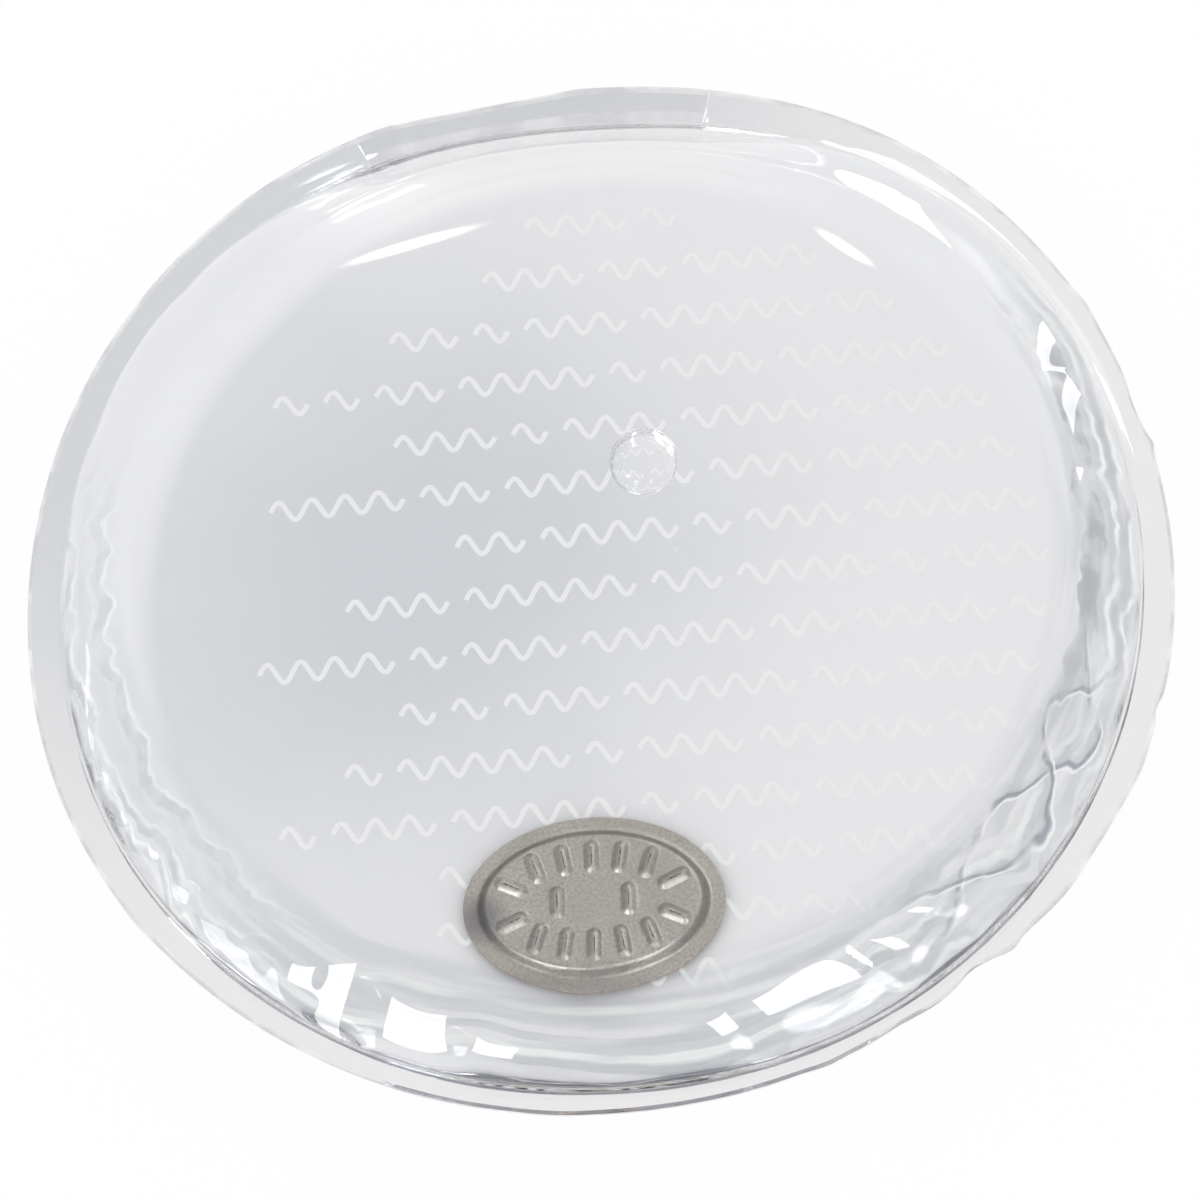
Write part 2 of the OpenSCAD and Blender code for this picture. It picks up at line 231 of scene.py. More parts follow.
# Angular steps round the pouch, the bubble and the disc, and rings of the pouch's skins above and below
# the weld
STEPS = 1080
BUBBLE_STEPS = 96
DISC_STEPS = 400
TOP_RINGS = 64
LOW_RINGS = 36
# Shares of the floor's radius at which its rings lie, and points round the flange's outer edge
FLOOR_SHARES = np.linspace(0.85, 0.15, 5)
RIM_POINTS = 9

# How much vinyl and the salt solution bend light
VINYL_IOR = 1.5
LIQUID_IOR = 1.42
CLEAR = (1, 1, 1)


def sind(a):
    return np.sin(np.radians(a))


def cosd(a):
    return np.cos(np.radians(a))


def apart(a, b):
    """Degrees from direction b to direction a, between -180 and 180."""
    return (a - b + 180) % 360 - 180


def round_steps(count):
    """Angles of so many equal steps round the middle."""
    return np.arange(count) * 360 / count


def around(r, a, z):
    """Points at radius r, angle a and height z."""
    r, a, z = np.broadcast_arrays(r, a, z)
    return np.stack([r * cosd(a), r * sind(a), z], -1)


def spread(first, last, count, power=1.0):
    """Count numbers from first to last, closer together near first where power is over 1."""
    return first + (last - first) * np.linspace(0, 1, count) ** power


def skin(rings, first_pole=None, last_pole=None, finish=0, ends=False):
    """Points, faces and finishes of a skin through rings of points, each ring closed. Neighbouring rings
    are joined by quads and a pole by triangles; ends fills both end rings. finish gives each band of
    quads its material, and a pole has that of the band beside it."""
    m, n = rings.shape[:2]
    i, k = np.meshgrid(np.arange(m - 1), np.arange(n), indexing="ij")
    l = (k + 1) % n
    faces = np.stack([i * n + k, i * n + l, i * n + n + l, i * n + n + k], -1).reshape(-1, 4).tolist()
    bands = np.broadcast_to(finish, m - 1)
    finishes = [np.repeat(bands, n)]
    points = [rings.reshape(-1, 3)]
    ring, low = np.arange(n), (m - 1) * n
    if first_pole is not None:
        faces += np.stack([np.roll(ring, -1), ring, np.full(n, m * n)], -1).tolist()
        points.append(np.array([first_pole], float))
        finishes.append(np.full(n, bands[0]))
    if last_pole is not None:
        pole = m * n + (first_pole is not None)
        faces += np.stack([low + ring, low + np.roll(ring, -1), np.full(n, pole)], -1).tolist()
        points.append(np.array([last_pole], float))
        finishes.append(np.full(n, bands[-1]))
    if ends:
        faces += [ring[::-1].tolist(), (low + ring).tolist()]
        finishes.append(np.array([bands[0], bands[-1]]))
    return np.concatenate(points), faces, np.concatenate(finishes)


def signed_volume(points, faces):
    """Six times the volume that the faces enclose, positive where they point outwards."""
    total = 0.0
    for size in {len(face) for face in faces}:
        f = np.array([face for face in faces if len(face) == size], int)
        for t in range(1, size - 1):
            a, b, c = points[f[:, 0]], points[f[:, t]], points[f[:, t + 1]]
            total += np.einsum("ij,ij->i", a, np.cross(b, c)).sum()
    return total


def turned(surface, inwards=False):
    """The surface with its faces pointing outwards, or inwards round a hollow."""
    points, faces, finishes = surface
    if (signed_volume(points, faces) < 0) != inwards:
        faces = [face[::-1] for face in faces]
    return points, faces, finishes


def piece(name, surfaces, materials, body, replaced=(), sharp=50):
    """One object from a list of surfaces in millimetres, on its body where it rides on one alone. Edges
    sharper than sharp degrees stay crisp."""
    faces, start = [], 0
    for points, own_faces, finishes in surfaces:
        faces += [[start + v for v in face] for face in own_faces]
        start += len(points)
    mesh = bpy.data.meshes.new(name)
    mesh.from_pydata((np.concatenate([s[0] for s in surfaces]) * MM).tolist(), [], faces)
    mesh.update()
    mesh.polygons.foreach_set("use_smooth", np.ones(len(mesh.polygons), bool))
    for material in materials:
        mesh.materials.append(material)
    mesh.polygons.foreach_set("material_index", np.concatenate([s[2] for s in surfaces]).astype(np.int32))
    mesh.set_sharp_from_angle(angle=math.radians(sharp))
    made = bpy.data.objects.new(name, mesh)
    bpy.context.scene.collection.objects.link(made)
    if body:
        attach(made, body)
    for node in replaced:
        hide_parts(node)
    return made


class Nodes:
    """Adds nodes to the tree of a material or a lamp. Each method but put gives back a socket."""

    def __init__(self, owner):
        self.nodes, self.links = owner.node_tree.nodes, owner.node_tree.links

    def put(self, socket, value):
        if isinstance(value, bpy.types.NodeSocket):
            self.links.new(value, socket)
        else:
            socket.default_value = value

    def math(self, operation, *values):
        node = self.nodes.new("ShaderNodeMath")
        node.operation = operation
        for socket, value in zip(node.inputs, values):
            self.put(socket, value)
        return node.outputs[0]

    def product(self, first, *others):
        for other in others:
            first = self.math("MULTIPLY", first, other)
        return first

    def vector(self, operation, *values, output="Vector"):
        node = self.nodes.new("ShaderNodeVectorMath")
        node.operation = operation
        for socket, value in zip(node.inputs, values):
            self.put(socket, value)
        return node.outputs[output]

    def ramp(self, value, first, last, low=0.0, high=1.0):
        """Smoothly from low to high as value goes from first to last."""
        node = self.nodes.new("ShaderNodeMapRange")
        node.interpolation_type = "SMOOTHSTEP"
        names = ("Value", "From Min", "From Max", "To Min", "To Max")
        for name, at in zip(names, (value, first, last, low, high)):
            self.put(node.inputs[name], at)
        return node.outputs["Result"]

    def mix(self, share, a, b):
        """Colour a turned into colour b by a share."""
        node = self.nodes.new("ShaderNodeMix")
        node.data_type = "RGBA"
        self.put(node.inputs["Factor"], share)
        for name, colour in (("A", a), ("B", b)):
            self.put(node.inputs[name], colour if isinstance(colour, bpy.types.NodeSocket) else (*colour, 1))
        return node.outputs["Result"]


class PouchNodes(Nodes):
    """Nodes that tint a material by its place on the pouch."""

    def __init__(self, owner):
        super().__init__(owner)
        self.place = self.nodes.new("ShaderNodeTexCoord").outputs["Object"]

    def distance(self, middle):
        """Millimetres from a middle, in plan."""
        plan = self.vector("MULTIPLY", self.place, (1 / MM, 1 / MM, 0))
        return self.vector("DISTANCE", plan, (*middle, 0), output="Value")

    def inset(self):
        """Millimetres in from the weld's full radius."""
        return self.math("SUBTRACT", WELD_R, self.distance((0, 0)))

    def direction(self):
        """Unit vector in plan from the pouch's middle."""
        return self.vector("NORMALIZE", self.vector("MULTIPLY", self.place, (1, 1, 0)))

    def towards(self, way, wide):
        """One towards direction way, falling to nothing wide degrees to either side of it."""
        unit = (float(cosd(way)), float(sind(way)), 0)
        return self.ramp(self.vector("DOT_PRODUCT", self.direction(), unit, output="Value"),
                         float(cosd(wide)), 1.0)

    def angle(self):
        """Angle round the pouch in radians."""
        split = self.nodes.new("ShaderNodeSeparateXYZ")
        self.put(split.inputs[0], self.place)
        return self.math("ARCTAN2", split.outputs["Y"], split.outputs["X"])

    def noise(self, scale, detail, where=None):
        node = self.nodes.new("ShaderNodeTexNoise")
        self.put(node.inputs["Scale"], scale)
        self.put(node.inputs["Detail"], detail)
        self.put(node.inputs["Vector"], where or self.place)
        return node.outputs["Fac"]

    def wall_noise(self, inset, round_scale, in_scale, detail=2):
        """Noise that runs round the pouch and in from the weld, without a seam: its place is the
        direction from the middle, with the distance in from the weld as its height."""
        split = self.nodes.new("ShaderNodeSeparateXYZ")
        self.put(split.inputs[0], self.direction())
        join = self.nodes.new("ShaderNodeCombineXYZ")
        for axis in "XY":
            self.put(join.inputs[axis], self.math("MULTIPLY", split.outputs[axis], round_scale))
        self.put(join.inputs["Z"], self.math("MULTIPLY", inset, in_scale))
        return self.noise(1.0, detail, join.outputs[0])


def new_material(name):
    made = bpy.data.materials.new(name)
    made.use_nodes = True
    return made, made.node_tree.nodes["Principled BSDF"]


def finish_surface(material, socket):
    """Puts a shader on a material's surface."""
    material.node_tree.links.new(socket, material.node_tree.nodes["Material Output"].inputs["Surface"])


def open_to_daylight(material, shader, tint=CLEAR):
    """Lets the light that reaches the floor and the print through a material straight, with a tint."""
    add = Nodes(material)
    path = add.nodes.new("ShaderNodeLightPath")
    through = add.nodes.new("ShaderNodeBsdfTransparent")
    through.inputs["Color"].default_value = (*tint, 1)
    mix = add.nodes.new("ShaderNodeMixShader")
    parts = (path.outputs["Is Diffuse Ray"], shader.outputs[0], through.outputs[0])
    for socket, value in zip(mix.inputs, parts):
        add.put(socket, value)
    finish_surface(material, mix.outputs[0])


def clear(name, ior):
    """A face between two clear things. ior is that of the thing inside the face over that outside it."""
    made, shader = new_material(name)
    shader.inputs["Transmission Weight"].default_value = 1
    shader.inputs["IOR"].default_value = ior
    shader.inputs["Roughness"].default_value = 0
    return made, shader, PouchNodes(made)


def outer_vinyl():
    """The vinyl's faces against the air: clear, with a faint cloudiness."""
    made, shader, add = clear("front_vinyl", VINYL_IOR)
    cloud = add.ramp(add.noise(60, 3), 0.3, 0.7)
    add.put(shader.inputs["Base Color"], add.mix(cloud, (0.975, 0.975, 0.98), (0.99, 0.99, 0.995)))
    open_to_daylight(made, shader)
    return made


def grey_bands(add, inset, tint):
    """The tint of the wall with the painted shade of its greyer stretches, in uneven bands along the weld.
    """
    wall = add.product(add.ramp(inset, 0.1, 1.0), add.ramp(inset, 8.5, 4.5))
    band = add.ramp(add.wall_noise(inset, 2.2, 0.9), 0.38, 0.62, 0.25, 1.0)
    grey = 0.0
    for way, wide, strength in WALL_GREYS:
        grey = add.math("MAXIMUM", grey, add.product(add.towards(way, wide), strength))
    return add.mix(add.product(grey, wall, band), tint, (0.44, 0.46, 0.49))


def wall_lines(add, inset, tint):
    """The tint of the wall with the dark and light lines of WALL_LINES, painted shade and painted light that
    are broken in places. Each is bluish.
    """
    for way, wide, reach, often, lines in WALL_LINES:
        wander = add.math("SUBTRACT", add.wall_noise(inset, often, 0.1, detail=3), 0.5)
        far = add.math("MULTIPLY_ADD", wander, reach, inset)
        broken = add.ramp(add.wall_noise(inset, often * 2, 0.5), 0.36, 0.6, 0.3, 1.0)
        where = add.product(add.towards(way, wide), broken)
        for middle, half, edge, level, strength in lines:
            off = add.math("ABSOLUTE", add.math("SUBTRACT", far, middle))
            line = add.ramp(off, half + edge / 2, half - edge / 2)
            colour = (level, level * 1.06, min(level * 1.16, 1.0))
            tint = add.mix(add.product(line, where, strength), tint, colour)
    return tint


def fold_lines(add, inset, tint):
    """The tint of the wall with the painted light and shade of the two crossing folds. Each has a thin dark
    line of painted shade, a thin light one of painted light just outside it and a soft painted shade inside
    it, all ragged and broken in places."""
    across = add.angle()
    drift = add.math("SINE", add.math("MULTIPLY_ADD", across, DRIFT_WAVES, math.radians(DRIFT_START)))
    along = add.math("MULTIPLY_ADD", across, FOLD_WAVES, math.radians(FOLD_START))
    wave = add.math("SINE", add.math("MULTIPLY_ADD", drift, math.radians(FOLD_DRIFT), along))
    swing = add.product(wave, FOLD_SWING)
    uneven = add.product(add.math("SINE", add.product(across, UNEVEN_WAVES)), UNEVEN)
    broken = add.ramp(add.wall_noise(inset, 9, 0.9), 0.36, 0.56, 0.12, 1.0)
    stretch = add.product(add.towards(FOLD_DIR, 26), broken)
    ragged = add.math("SUBTRACT", add.wall_noise(inset, 7, 0.5), 0.5)
    for side in (-1, 1):
        grown = add.math("MULTIPLY_ADD", uneven, side, 1.0)
        fold = add.math("MULTIPLY_ADD", add.product(swing, side), grown, FOLD_IN)
        off = add.math("MULTIPLY_ADD", ragged, 2.6 * side, add.math("SUBTRACT", inset, fold))
        soft = add.product(add.ramp(off, 1.3, 0.0), add.ramp(off, -0.05, 0.05))
        dark = add.ramp(add.math("ABSOLUTE", off), 0.3, 0.04)
        light = add.ramp(add.math("ABSOLUTE", add.math("ADD", off, 0.3)), 0.16, 0.02)
        # Each fold's painted soft shade, painted dark line and painted highlight
        for line, strength, colour in ((soft, 0.75, (0.38, 0.4, 0.44)), (dark, 0.95, (0.13, 0.15, 0.18)),
                                       (light, 0.9, (0.99, 0.99, 1.0))):
            tint = add.mix(add.product(line, stretch, strength), tint, colour)
    return tint


def wet_vinyl():
    """The front sheet against the liquid: its wall has grey bands and dark and light lines, painted shade
    and painted light for how the wall bends light, and is clear at the fill mouth."""
    made, shader, add = clear("wet_vinyl", VINYL_IOR / LIQUID_IOR)
    inset = add.inset()
    tint = grey_bands(add, inset, (0.88, 0.88, 0.885))
    tint = wall_lines(add, inset, tint)
    tint = fold_lines(add, inset, tint)
    mouth = add.product(add.towards(MOUTH_DIR, 36), add.ramp(inset, 5.0, 3.0, 0.0, 0.8))
    add.put(shader.inputs["Base Color"], add.mix(mouth, tint, CLEAR))
    open_to_daylight(made, shader)
    return made


def back_vinyl():
    """The back sheet against the liquid, under the print: painted shade of the floor under the pouch, greyer
    at the left, and painted light round the edge, where the wall gathers light.
    """
    made, shader, add = clear("back_vinyl", VINYL_IOR / LIQUID_IOR)
    # Painted shade under the pouch, and painted light round the floor's edge
    away = add.math("ADD", add.distance((-15, 4)), add.product(add.noise(45, 2), 14))
    out = add.distance((0, 0))
    light = add.math("MAXIMUM", add.ramp(away, 11, 47), add.ramp(out, 32.5, 36.5, 0.0, 0.75))
    floor_shade = add.mix(light, (0.44, 0.46, 0.505), (0.72, 0.725, 0.74))
    wall_shade = add.mix(add.towards(MOUTH_DIR, 34), (0.79, 0.8, 0.82), (0.87, 0.87, 0.88))
    wall = add.ramp(out, 34.5, 37.5)
    add.put(shader.inputs["Base Color"], add.mix(wall, floor_shade, wall_shade))
    open_to_daylight(made, shader)
    return made


def flange_vinyl(name, left, right, first, last):
    """Welded vinyl, slightly mottled: its tint goes from left to right as the distance from the pouch's
    upper left goes from first to last, painted shade at the upper left that lightens to the right."""
    made, shader, add = clear(name, VINYL_IOR)
    away = add.math("ADD", add.distance((-30, 36)), add.product(add.noise(120, 3), 16))
    add.put(shader.inputs["Base Color"], add.mix(add.ramp(away, first, last), left, right))
    open_to_daylight(made, shader, (0.98, 0.98, 0.98))
    return made


def straight_through(name, dim, bright):
    """A face that lets light through without bending it, mottled between two tints. It doesn't show where
    both are clear, as between two things that bend light alike."""
    made, shader = new_material(name)
    add = PouchNodes(made)
    through = add.nodes.new("ShaderNodeBsdfTransparent")
    cloud = add.ramp(add.noise(400, 3), 0.3, 0.7)
    add.put(through.inputs["Color"], add.mix(cloud, dim, bright))
    finish_surface(made, through.outputs["BSDF"])
    return made


def salt_solution():
    """The liquid's face against the bubble: very slightly milky, with a trace of cloud."""
    made, shader, add = clear("salt_solution", LIQUID_IOR)
    shader.inputs["Transmission Weight"].default_value = 0.9
    cloud = add.ramp(add.noise(300, 2), 0.3, 0.7)
    add.put(shader.inputs["Base Color"], add.mix(cloud, (0.995, 0.995, 0.995), CLEAR))
    open_to_daylight(made, shader)
    return made


def steel(name, pale, dark, roughness):
    """Satin steel with a fine grain, with painted shade down the left of the crown's wall."""
    made, shader = new_material(name)
    add = PouchNodes(made)
    grain = add.noise(4200, 3)
    tint = add.mix(add.ramp(grain, 0.3, 0.7), dark, pale)
    cloud = add.ramp(add.noise(160, 2), 0.35, 0.65, 0.0, 0.35)
    tint = add.mix(cloud, tint, dark)
    # Painted shade down the left of the crown's wall
    left = add.ramp(add.distance((DISC_X - DISC_A + 1.3, DISC_Y - 0.5)), 2.6, 0.6, 0.0, 0.6)
    add.put(shader.inputs["Base Color"], add.mix(left, tint, (0.12, 0.12, 0.14)))
    add.put(shader.inputs["Roughness"], add.ramp(grain, 0.3, 0.7, roughness - 0.08, roughness + 0.08))
    shader.inputs["Metallic"].default_value = 1
    bump = add.nodes.new("ShaderNodeBump")
    bump.inputs["Strength"].default_value = 0.35
    bump.inputs["Distance"].default_value = 0.02 * MM
    add.put(bump.inputs["Height"], grain)
    add.put(shader.inputs["Normal"], bump.outputs["Normal"])
    return made


def pale_ink():
    """Pale matt ink, laid on very slightly unevenly."""
    made, shader = new_material("pale_ink")
    add = PouchNodes(made)
    cloud = add.ramp(add.noise(800, 2), 0.3, 0.7)
    add.put(shader.inputs["Base Color"], add.mix(cloud, (0.857, 0.862, 0.867), (0.863, 0.868, 0.873)))
    shader.inputs["Roughness"].default_value = 0.6
    shader.inputs["Specular IOR Level"].default_value = 0
    open_to_daylight(made, shader)
    return made


def seam_z(a):
    """Height of the middle of the flange at angle a: two waves round the pouch."""
    return SEAM_H + SEAM_WAVE * (sind(3 * a + SEAM_STARTS[0]) + sind(7 * a + SEAM_STARTS[1]) / 2)


def weld_dip(a):
    """How far in of its full radius the weld lies at angle a."""
    return sum(dip * np.exp(-(apart(a, way) / width) ** 2) for way, width, dip in WELD_DIPS)


def edge_r(a):
    """Radius of the flange's outer edge: shifted to one side, with two waves and small bumps, and cut
    straight across at the fill mouth."""
    full = WELD_R + FLANGE_W + EDGE_SHIFT * cosd(a - EDGE_SHIFT_DIR)
    waved = full + EDGE_WAVE * (cosd(4 * a + EDGE_STARTS[0]) + cosd(5 * a + EDGE_STARTS[1]))
    for way, width, height in EDGE_BUMPS:
        waved = waved + height * np.exp(-(apart(a, way) / width) ** 2)
    off = apart(a, MOUTH_DIR + MOUTH_SKEW)
    cut = (full - MOUTH_FLAT) / cosd(np.clip(off, -MOUTH_REACH, MOUTH_REACH))
    return np.where(np.abs(off) < MOUTH_REACH, np.minimum(waved, cut), waved)


def pleats(a, x):
    """Depth of the creases: each is a sharp valley with rounded banks that fades on its way in."""
    depth = np.zeros(np.broadcast(a, x).shape)
    for way, width, deep, reach, lean in CREASES:
        off = apart(a, way + lean * x)
        near = np.sqrt(off * off + VALLEY_HALF ** 2) / (BANK_SPREAD * width)
        depth += deep * np.exp(-near ** BANK_CURVE) * np.exp(-(x / reach) ** 2)
    return depth


def wall_step(a, x):
    """Depth of the step in the wall: a smooth rise from one level to another that fades all round."""
    way, width, deep, reach, inwards = STEP
    off = apart(a, way)
    return -deep * np.tanh(off / width) * np.exp(-(off / reach) ** 2) * np.exp(-(x / inwards) ** 2)


def crossing_folds(a, x):
    """Depth of the two wavy folds: thin ridges along two sine waves that mirror each other."""
    swing = FOLD_SWING * sind(FOLD_WAVES * a + FOLD_START + FOLD_DRIFT * sind(DRIFT_WAVES * a + DRIFT_START))
    share = np.exp(-(apart(a, FOLD_DIR) / FOLD_WIDTH) ** 4)
    depth = 0.0
    for side in (-1, 1):
        grown = 1 + UNEVEN * side * sind(UNEVEN_WAVES * a)
        far = x + weld_dip(a) - FOLD_IN - side * swing * grown
        depth = depth + FOLD_DEPTH * share * np.exp(-np.sqrt(far * far + FOLD_CREST ** 2) / FOLD_HALF)
    return depth


def creased(a, x):
    """Depth of all creases and folds at angle a and distance x inside the weld, from which they start."""
    depth = pleats(a, x) + wall_step(a, x) + crossing_folds(a, x)
    return depth * (1 - np.exp(-x / CREASE_START))


def top_rings(gap, insets):
    """Rings of the bulge above the weld, gap inside the vinyl's outer face: a shallow dome that rounds
    down to the weld along part of a superellipse, drawn in and down by the creases."""
    a = round_steps(STEPS)
    x = np.asarray(insets)[:, None]
    depth = creased(a, x)
    fall = POUCH_H - DOME_FALL - seam_z(a) - FILM_T
    full = ROUND_FULLNESS - sum(
        loss * np.exp(-np.abs(apart(a, way) / width) ** square) for way, width, loss, square in FLATS)
    near = np.maximum(1 - x / ROUND_W, 0) ** full
    z = POUCH_H - DOME_FALL * (1 - x / WELD_R) ** 2 - fall * (1 - (1 - near) ** (1 / full))
    r = (WELD_R - x) * (1 - weld_dip(a) / WELD_R) * (1 - gap / WELD_R) - CREASE_IN * depth
    return around(r, a, z - gap - CREASE_DOWN * depth)


def low_rings(gap, falls, floor_z):
    """Rings of the wall below the weld, gap inside the vinyl's outer face: a quarter of a superellipse
    down to height floor_z, drawn in by the creases half way down."""
    a = round_steps(STEPS)
    f = np.asarray(falls)[:, None]
    out = WELD_R - weld_dip(a) - gap - FLOOR_R
    r = FLOOR_R + out * cosd(f) ** (2 / FULLNESS) - creased(a, LOW_CREASE_AT) * sind(2 * f)
    high = seam_z(a) - FILM_T + gap
    return around(r, a, high + (floor_z - high) * sind(f) ** (2 / FULLNESS))


# Distances in from the weld of the rings above it, and falls in degrees of those below it
INSETS = spread(0, WELD_R * 0.995, TOP_RINGS, 2.4)
FALLS = spread(0, 90, LOW_RINGS, 1.2)
# Finishes of a film's faces: against air, against the liquid, and fused to the flange
AIR, WET, FUSED = 0, 1, 2


def front_film():
    """The front sheet: the bulge's outer and inner skins, joined along the weld."""
    rings = np.concatenate([top_rings(FILM_T, INSETS)[::-1], top_rings(0, INSETS)])
    bands = [WET] * (TOP_RINGS - 1) + [FUSED] + [AIR] * (TOP_RINGS - 1)
    return turned(skin(rings, (0, 0, POUCH_H - FILM_T), (0, 0, POUCH_H), bands))


def floor_discs(ring, z):
    """Rings that carry the last ring of the wall in to the middle of the floor at height z."""
    discs = ring[None] * FLOOR_SHARES[:, None, None]
    discs[..., 2] = z
    return discs


def back_film():
    """The back sheet: the wall's outer and inner skins, joined along the weld, each with its flat floor."""
    outer = low_rings(0, FALLS, -FLAT_CUT)
    outer[..., 2] = np.maximum(outer[..., 2], 0)
    inner = low_rings(FILM_T, FALLS, FILM_T)
    rings = np.concatenate([
        floor_discs(outer[-1], 0)[::-1], outer[::-1], inner, floor_discs(inner[-1], FILM_T)])
    half = LOW_RINGS + len(FLOOR_SHARES) - 1
    bands = [AIR] * half + [FUSED] + [WET] * half
    return turned(skin(rings, (0, 0, 0), (0, 0, FILM_T), bands))


def solution():
    """The liquid: one skin just inside both sheets, with a sharp edge in the weld's corner."""
    g = FILM_T + SOLUTION_GAP
    a = round_steps(STEPS)
    tip = around(WELD_R - weld_dip(a) - g, a, seam_z(a))[None]
    low = low_rings(g, FALLS, g)
    rings = np.concatenate([
        floor_discs(low[-1], g)[::-1], low[:0:-1], tip, top_rings(g, INSETS)[1:]])
    return turned(skin(rings, (0, 0, g), (0, 0, POUCH_H - g)))


def bubble():
    """The hollow of the air bubble: a flat top with rounded edges over a bowl, both parts of
    superellipses swept round its middle."""
    t = np.linspace(4, 176, 48)[:, None]
    bowl = t > 90
    low = BUBBLE_H * BUBBLE_LOW
    r = BUBBLE_R * np.where(bowl, sind(t) ** 0.95, sind(t) ** 0.8)
    z = np.where(bowl, low * cosd(t), (BUBBLE_H - low) * np.abs(cosd(t)) ** 0.8)
    top = POUCH_H - FILM_T - SOLUTION_GAP - BUBBLE_COVER
    middle = top - (BUBBLE_H - low)
    rings = around(r, round_steps(BUBBLE_STEPS), z + middle)
    rings = rings * np.array([1, BUBBLE_STRETCH, 1]) + np.array([BUBBLE_X, BUBBLE_Y, 0])
    poles = np.array([[BUBBLE_X, BUBBLE_Y, top], [BUBBLE_X, BUBBLE_Y, middle - low]])
    return turned(skin(rings, poles[0], poles[1], finish=1), inwards=True)


def flange_section(bead):
    """The upper half of the flange's section as distances out from the weld and heights: a bevel that
    meets the film, a pressed line, the flat and a rounded edge."""
    bevel = np.array([[-FILM_T, 0], [0, FILM_T]])
    press = np.stack([PRESS_CORNERS, FILM_T + np.array([bead, -PRESS_D, -PRESS_D, bead])], -1)
    t = np.linspace(90, 0, RIM_POINTS)
    rim = np.stack([FLANGE_W - EDGE_ROUND + EDGE_ROUND * cosd(t), (FILM_T + bead) * sind(t)], -1)
    return np.concatenate([bevel, press, rim])


# Finishes of the flange's faces: open, fused to the films, and the cut edge
OPEN, JOINED, CUT = 0, 1, 2


def flange_run(first, last, bead):
    """The flange's section carried along the weld from angle first to angle last, as rings. What lies
    outside the pressed line is stretched to the outer edge."""
    a = np.linspace(first, last, int((last - first) * STEPS / 360) + 1)[:, None]
    half = flange_section(bead)
    x = np.concatenate([half[:, 0], half[-2:0:-1, 0]])
    z = np.concatenate([half[:, 1], -half[-2:0:-1, 1]])
    weld = WELD_R - weld_dip(a)
    stretch = np.where(x > PRESS_CORNERS[-1], (edge_r(a) - weld) / FLANGE_W, 1)
    rings = around(weld + WELD_GAP + x * stretch, a, seam_z(a) + z)
    points, faces, finishes = turned(skin(rings, ends=True))
    part = np.arange(len(faces)) % len(x)
    part = np.minimum(part, len(x) - 1 - part)
    cut_from = len(half) - RIM_POINTS + 1
    finishes = np.where(part == 0, JOINED, np.where(part >= cut_from, CUT, OPEN))
    return points, faces, finishes


def rest(v):
    return v - math.floor(v)


def waves(row, i):
    """How many waves the printed line i of a row has."""
    return 1 + math.floor(LINE_WAVES * rest(LINE_STEP * i + ROW_STEP * (row + ROW_LINES)))


def wavy_line(x_end, y, count):
    """A flat wavy line that starts at x_end and runs along -X: a square section swept along a sine wave."""
    x = np.linspace(0, count * WAVE_L, 24 * count + 1)
    turn = 2 * math.pi * x / WAVE_L
    slope = WAVE_H * math.pi / WAVE_L * np.cos(turn)
    n = np.sqrt(1 + slope * slope)
    side = STROKE_W / 2 * np.array([-1, 1, 1, -1])
    high = FILM_T + INK_T * np.array([0, 0, 1, 1])
    px = x[:, None] - side * (slope / n)[:, None]
    py = WAVE_H / 2 * np.sin(turn)[:, None] + side / n[:, None]
    return turned(skin(np.stack([x_end - px, y - py, np.broadcast_to(high, px.shape)], -1), ends=True))


def printed_rows():
    """Rows of wavy lines of uneven length, each row starting at its right-hand end."""
    lines = []
    rows = math.floor(PRINT_R / ROW_PITCH)
    for row in range(-rows, rows + 1):
        reach = abs(row) * ROW_PITCH + (WAVE_H + STROKE_W) / 2
        half = math.sqrt(max(PRINT_R ** 2 - reach ** 2, 0))
        run = 2 * half * (ROW_FILL + (1 - ROW_FILL) * rest(LINE_STEP * (row + ROW_LINES)))
        start = 0.0
        for i in range(ROW_LINES):
            count = min(waves(row, i), math.floor((run - start) / WAVE_L))
            if count > 0:
                lines.append(wavy_line(half - start, row * ROW_PITCH, count))
            start += waves(row, i) * WAVE_L + LINE_GAP
    return lines


def rib_places():
    """Middle and turn of each rib on the crown: two rows of five, two at each end, two in the middle."""
    crown_a = DISC_A - BAND_W - SLOPE_W - CROWN_GAP
    crown_b = DISC_B - BAND_W - SLOPE_W - CROWN_GAP
    inset = RIB_L / 2 + RIB_EDGE
    row_a, row_b = crown_a - RIB_W / 2 - RIB_EDGE, crown_b - inset
    end_x, end_y = crown_a - inset - RIB_EDGE, RIB_W + RIB_EDGE
    places = []
    for side in (-1, 1):
        for i in range(-2, 3):
            x = i * RIB_PITCH
            places.append((x, side * row_b * math.sqrt(1 - (x / row_a) ** 2), -side * i * RIB_FAN))
        for end in (-1, 1):
            places.append((end * end_x, side * end_y, -side * end * END_TILT))
        places.append((side * INNER_X, 0, 0))
    return places


def rib_heights(x, y):
    """Height that the ribs add at each point: a tent with a crest along its middle and rounded ends."""
    height = np.zeros(np.shape(x))
    for mx, my, turn in rib_places():
        u = (x - mx) * cosd(turn) + (y - my) * sind(turn)
        v = -(x - mx) * sind(turn) + (y - my) * cosd(turn)
        past = np.maximum(np.abs(v) - (RIB_L - RIB_W) / 2, 0)
        t = np.clip(1 - np.sqrt(u * u + past * past) / (RIB_W / 2), 0, 1)
        height = np.maximum(height, RIB_H * t * (1.6 - 0.6 * t * t))
    return height


def on_disc(points):
    """Points of the disc's own frame, set down where the disc lies."""
    x, y, z = points[..., 0], points[..., 1], points[..., 2]
    return np.stack([
        DISC_X + x * cosd(DISC_TURN) - y * sind(DISC_TURN),
        DISC_Y + x * sind(DISC_TURN) + y * cosd(DISC_TURN), DISC_Z + z], -1)


